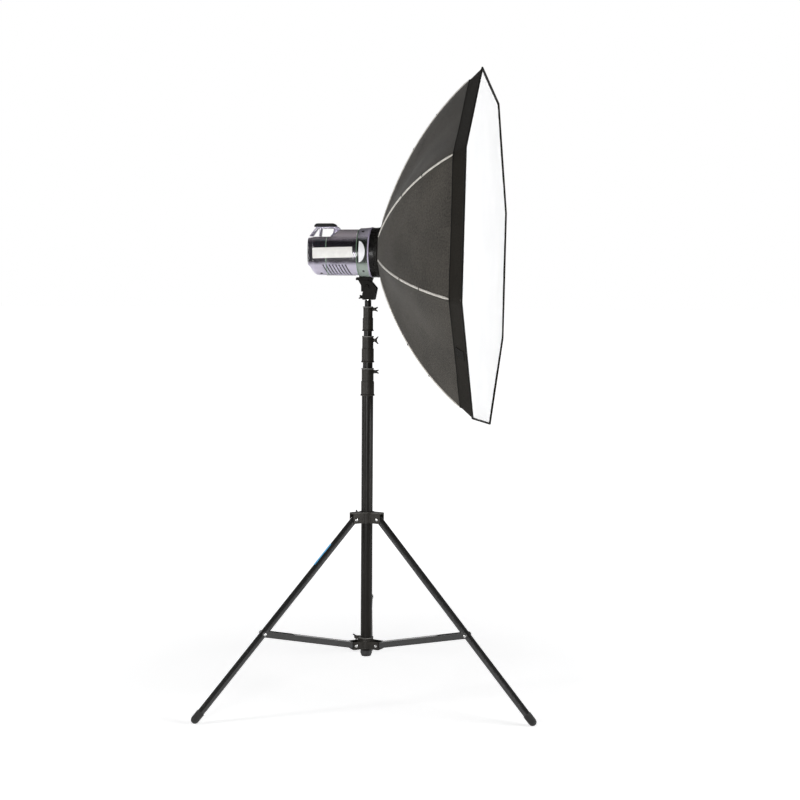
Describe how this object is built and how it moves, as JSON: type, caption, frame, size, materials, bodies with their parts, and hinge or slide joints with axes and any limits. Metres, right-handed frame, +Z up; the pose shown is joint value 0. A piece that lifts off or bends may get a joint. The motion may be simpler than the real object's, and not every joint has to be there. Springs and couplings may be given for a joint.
{
  "type": "octabox on light stand",
  "caption": "Eight-sided folding softbox on a compact flash head with tilt bracket, on a telescopic light stand with braced folding legs",
  "frame": {"origin": "on the floor, on the axis of the stand's column, midway between the feet", "axes": "+Z up along the column; +X to the side the flash head faces, which is turned 10.3 degrees towards -Y"},
  "size_m": [0.9996, 1.1532, 1.8873],
  "materials": {
    "black_tube": "satin black paint over aluminium tube",
    "casting": "dark grey enamel on an aluminium casting",
    "steel": "bright zinc-plated steel",
    "rod": "spring steel",
    "rubber": "matt black rubber",
    "plastic": "fine-textured black plastic",
    "casing": "translucent violet-grey polycarbonate",
    "glass": "clear and frosted lamp glass",
    "cover_fabric": "coated charcoal grey nylon, silver inside",
    "diffuser_fabric": "white diffusion cloth"
  },
  "bodies": {
    "column": {"column_tube": "black_tube", "column_plug": "plastic", "column_clamp": "casting", "lower_collar": "casting"},
    "lower_screw": {"lower_collar_screw": "casting"},
    "collar": {"upper_collar": "casting"},
    "upper_screw": {"upper_collar_screw": "casting"},
    "leg_1": {"leg_tube_1": "black_tube", "foot_1": "rubber"},
    "leg_2": {"leg_tube_2": "black_tube", "foot_2": "rubber"},
    "leg_3": {"leg_tube_3": "black_tube", "foot_3": "rubber"},
    "brace_arm_1": {"brace_1": "black_tube"},
    "brace_arm_2": {"brace_2": "black_tube"},
    "brace_arm_3": {"brace_3": "black_tube"},
    "riser_a": {"riser_1": "black_tube", "riser_1_clamp": "casting"},
    "riser_b": {"riser_2": "black_tube", "riser_2_clamp": "casting"},
    "riser_c": {"riser_3": "black_tube", "spigot": "steel"},
    "clamp_knob_1": {"clamp_screw_1": "casting"},
    "clamp_knob_2": {"clamp_screw_2": "casting"},
    "clamp_knob_3": {"clamp_screw_3": "casting"},
    "swivel": {"swivel_socket": "casting", "tilt_bolt": "steel"},
    "socket_knob": {"socket_screw": "casting"},
    "lever": {"tilt_lever": "casting"},
    "head": {"tilt_arm": "casting", "head_casing": "casing", "front_collar": "casing", "rear_panel": "plastic", "inner_chassis": "plastic", "handle_frame": "casing", "handle_grip": "rubber", "flash_tube": "glass", "modelling_lamp": "glass", "mains_inlet": "plastic", "sync_socket": "steel", "bayonet_ring": "plastic"},
    "fan": {"cooling_fan": "plastic"},
    "switch": {"power_switch": "plastic"},
    "button_test": {"test_button": "plastic"},
    "button_slave": {"slave_button": "plastic"},
    "lock": {"bayonet_lock": "plastic"},
    "octabox": {"speed_ring": "casting", "hinge_wire": "steel", "fabric_cover": "cover_fabric", "front_diffuser": "diffuser_fabric", "inner_diffuser": "diffuser_fabric"},
    "rod_body_1": {"rod_1": "rod"},
    "rod_body_2": {"rod_2": "rod"},
    "rod_body_3": {"rod_3": "rod"},
    "rod_body_4": {"rod_4": "rod"},
    "rod_body_5": {"rod_5": "rod"},
    "rod_body_6": {"rod_6": "rod"},
    "rod_body_7": {"rod_7": "rod"},
    "rod_body_8": {"rod_8": "rod"}
  },
  "joints": [
    {"name": "leg_fold", "type": "slide", "parent": "column", "child": "collar", "axis": [0, 0, 1], "range_m": [0, 0.3545]},
    {"name": "leg_1_swing", "type": "hinge", "parent": "collar", "child": "leg_1", "pos_m": [0, 0.043, 0.5585], "axis": [-1, 0, 0], "range_deg": [0, 36.27]},
    {"name": "brace_1_swing", "type": "hinge", "parent": "column", "child": "brace_arm_1", "pos_m": [0, 0.043, 0.1707], "axis": [1, 0, 0], "range_deg": [0, 66.72]},
    {"name": "leg_2_swing", "type": "hinge", "parent": "collar", "child": "leg_2", "pos_m": [-0.03724, -0.0215, 0.5585], "axis": [0.5, -0.866, 0], "range_deg": [0, 36.27]},
    {"name": "brace_2_swing", "type": "hinge", "parent": "column", "child": "brace_arm_2", "pos_m": [-0.03724, -0.0215, 0.1707], "axis": [-0.5, 0.866, 0], "range_deg": [0, 66.72]},
    {"name": "leg_3_swing", "type": "hinge", "parent": "collar", "child": "leg_3", "pos_m": [0.03724, -0.0215, 0.5585], "axis": [0.5, 0.866, 0], "range_deg": [0, 36.27]},
    {"name": "brace_3_swing", "type": "hinge", "parent": "column", "child": "brace_arm_3", "pos_m": [0.03724, -0.0215, 0.1707], "axis": [-0.5, -0.866, 0], "range_deg": [0, 66.72]},
    {"name": "lower_collar_screw_turn", "type": "hinge", "parent": "column", "child": "lower_screw", "pos_m": [-0.01602, 0.00925, 0.1857], "axis": [-0.866, 0.5, 0], "range_deg": [0, 180]},
    {"name": "upper_collar_screw_turn", "type": "hinge", "parent": "collar", "child": "upper_screw", "pos_m": [-0.01602, 0.00925, 0.5685], "axis": [-0.866, 0.5, 0], "range_deg": [0, 180]},
    {"name": "riser_1_slide", "type": "slide", "parent": "column", "child": "riser_a", "axis": [0, 0, 1], "range_m": [-0.017, 0.7]},
    {"name": "clamp_screw_1_turn", "type": "hinge", "parent": "column", "child": "clamp_knob_1", "pos_m": [0.0156, 0, 1.006], "axis": [1, 0, 0], "range_deg": [0, 180]},
    {"name": "riser_2_slide", "type": "slide", "parent": "riser_a", "child": "riser_b", "axis": [0, 0, 1], "range_m": [-0.0145, 0.7]},
    {"name": "clamp_screw_2_turn", "type": "hinge", "parent": "riser_a", "child": "clamp_knob_2", "pos_m": [0.0131, 0, 1.101], "axis": [1, 0, 0], "range_deg": [0, 180]},
    {"name": "riser_3_slide", "type": "slide", "parent": "riser_b", "child": "riser_c", "axis": [0, 0, 1], "range_m": [-0.02, 0.7]},
    {"name": "clamp_screw_3_turn", "type": "hinge", "parent": "riser_b", "child": "clamp_knob_3", "pos_m": [0.0106, 0, 1.1945], "axis": [1, 0, 0], "range_deg": [0, 180]},
    {"name": "head_pan", "type": "hinge", "parent": "riser_c", "child": "swivel", "pos_m": [0, 0, 1.2625], "axis": [0, 0, 1], "continuous": true},
    {"name": "socket_screw_turn", "type": "hinge", "parent": "swivel", "child": "socket_knob", "pos_m": [-0.00866, 0.00157, 1.2315], "axis": [-0.9839, 0.1785, 0], "range_deg": [0, 180]},
    {"name": "tilt_lever_turn", "type": "hinge", "parent": "swivel", "child": "lever", "pos_m": [0.00428, 0.02361, 1.2625], "axis": [0.1785, 0.9839, 0], "range_deg": [0, 70]},
    {"name": "head_tilt", "type": "hinge", "parent": "swivel", "child": "head", "pos_m": [0, 0, 1.2625], "axis": [-0.1785, -0.9839, 0], "range_deg": [-20, 65]},
    {"name": "fan_spin", "type": "hinge", "parent": "head", "child": "fan", "pos_m": [-0.15349, 0.02785, 1.3645], "axis": [0.9839, -0.1785, 0], "continuous": true},
    {"name": "power_switch_rock", "type": "hinge", "parent": "head", "child": "switch", "pos_m": [-0.16341, 0.05608, 1.3645], "axis": [0.1785, 0.9839, 0], "range_deg": [-12, 0]},
    {"name": "test_button_press", "type": "slide", "parent": "head", "child": "button_test", "axis": [0.9839, -0.1785, 0], "range_m": [0, 0.002], "stiffness_N_per_m": 250},
    {"name": "slave_button_press", "type": "slide", "parent": "head", "child": "button_slave", "axis": [0.9839, -0.1785, 0], "range_m": [0, 0.002], "stiffness_N_per_m": 250},
    {"name": "bayonet_lock_slide", "type": "slide", "parent": "head", "child": "lock", "axis": [0.9839, -0.1785, 0], "range_m": [-0.007, 0], "stiffness_N_per_m": 300},
    {"name": "octabox_turn", "type": "hinge", "parent": "head", "child": "octabox", "pos_m": [0.03936, -0.00714, 1.3645], "axis": [0.9839, -0.1785, 0], "continuous": true},
    {"name": "octabox_fold", "type": "hinge", "parent": "octabox", "child": "rod_body_1", "pos_m": [0.04486, -0.02721, 1.43453], "axis": [0.1725, 0.9504, 0.2588], "range_deg": [0, 50], "deforming": ["fabric_cover", "front_diffuser", "inner_diffuser"]},
    {"name": "rod_2_fold", "type": "hinge", "parent": "octabox", "child": "rod_body_2", "pos_m": [0.05468, 0.02692, 1.42729], "axis": [0.1546, 0.8521, -0.5], "range_deg": [0, 50.1]},
    {"name": "rod_3_fold", "type": "hinge", "parent": "octabox", "child": "rod_body_3", "pos_m": [0.06072, 0.06016, 1.38326], "axis": [0.0462, 0.2547, -0.9659], "range_deg": [0, 50.1]},
    {"name": "rod_4_fold", "type": "hinge", "parent": "octabox", "child": "rod_body_4", "pos_m": [0.05942, 0.05303, 1.32825], "axis": [-0.0893, -0.492, -0.866], "range_deg": [0, 50.1]},
    {"name": "rod_5_fold", "type": "hinge", "parent": "octabox", "child": "rod_body_5", "pos_m": [0.05156, 0.00971, 1.29447], "axis": [-0.1725, -0.9504, -0.2588], "range_deg": [0, 50.1]},
    {"name": "rod_6_fold", "type": "hinge", "parent": "octabox", "child": "rod_body_6", "pos_m": [0.04174, -0.04442, 1.30171], "axis": [-0.1546, -0.8521, 0.5], "range_deg": [0, 50.1]},
    {"name": "rod_7_fold", "type": "hinge", "parent": "octabox", "child": "rod_body_7", "pos_m": [0.03571, -0.07765, 1.34574], "axis": [-0.0462, -0.2547, 0.9659], "range_deg": [0, 50.1]},
    {"name": "rod_8_fold", "type": "hinge", "parent": "octabox", "child": "rod_body_8", "pos_m": [0.037, -0.07053, 1.40075], "axis": [0.0893, 0.492, 0.866], "range_deg": [0, 50.1]}
  ],
  "couplings": [
    {"joint": "leg_1_swing", "follows": "leg_fold", "rad_per_m": 1.781},
    {"joint": "brace_1_swing", "follows": "leg_fold", "rad_per_m": 3.2802},
    {"joint": "leg_2_swing", "follows": "leg_fold", "rad_per_m": 1.781},
    {"joint": "brace_2_swing", "follows": "leg_fold", "rad_per_m": 3.2802},
    {"joint": "leg_3_swing", "follows": "leg_fold", "rad_per_m": 1.781},
    {"joint": "brace_3_swing", "follows": "leg_fold", "rad_per_m": 3.2802},
    {"joint": "rod_2_fold", "follows": "octabox_fold", "ratio": 1},
    {"joint": "rod_3_fold", "follows": "octabox_fold", "ratio": 1},
    {"joint": "rod_4_fold", "follows": "octabox_fold", "ratio": 1},
    {"joint": "rod_5_fold", "follows": "octabox_fold", "ratio": 1},
    {"joint": "rod_6_fold", "follows": "octabox_fold", "ratio": 1},
    {"joint": "rod_7_fold", "follows": "octabox_fold", "ratio": 1},
    {"joint": "rod_8_fold", "follows": "octabox_fold", "ratio": 1}
  ]
}
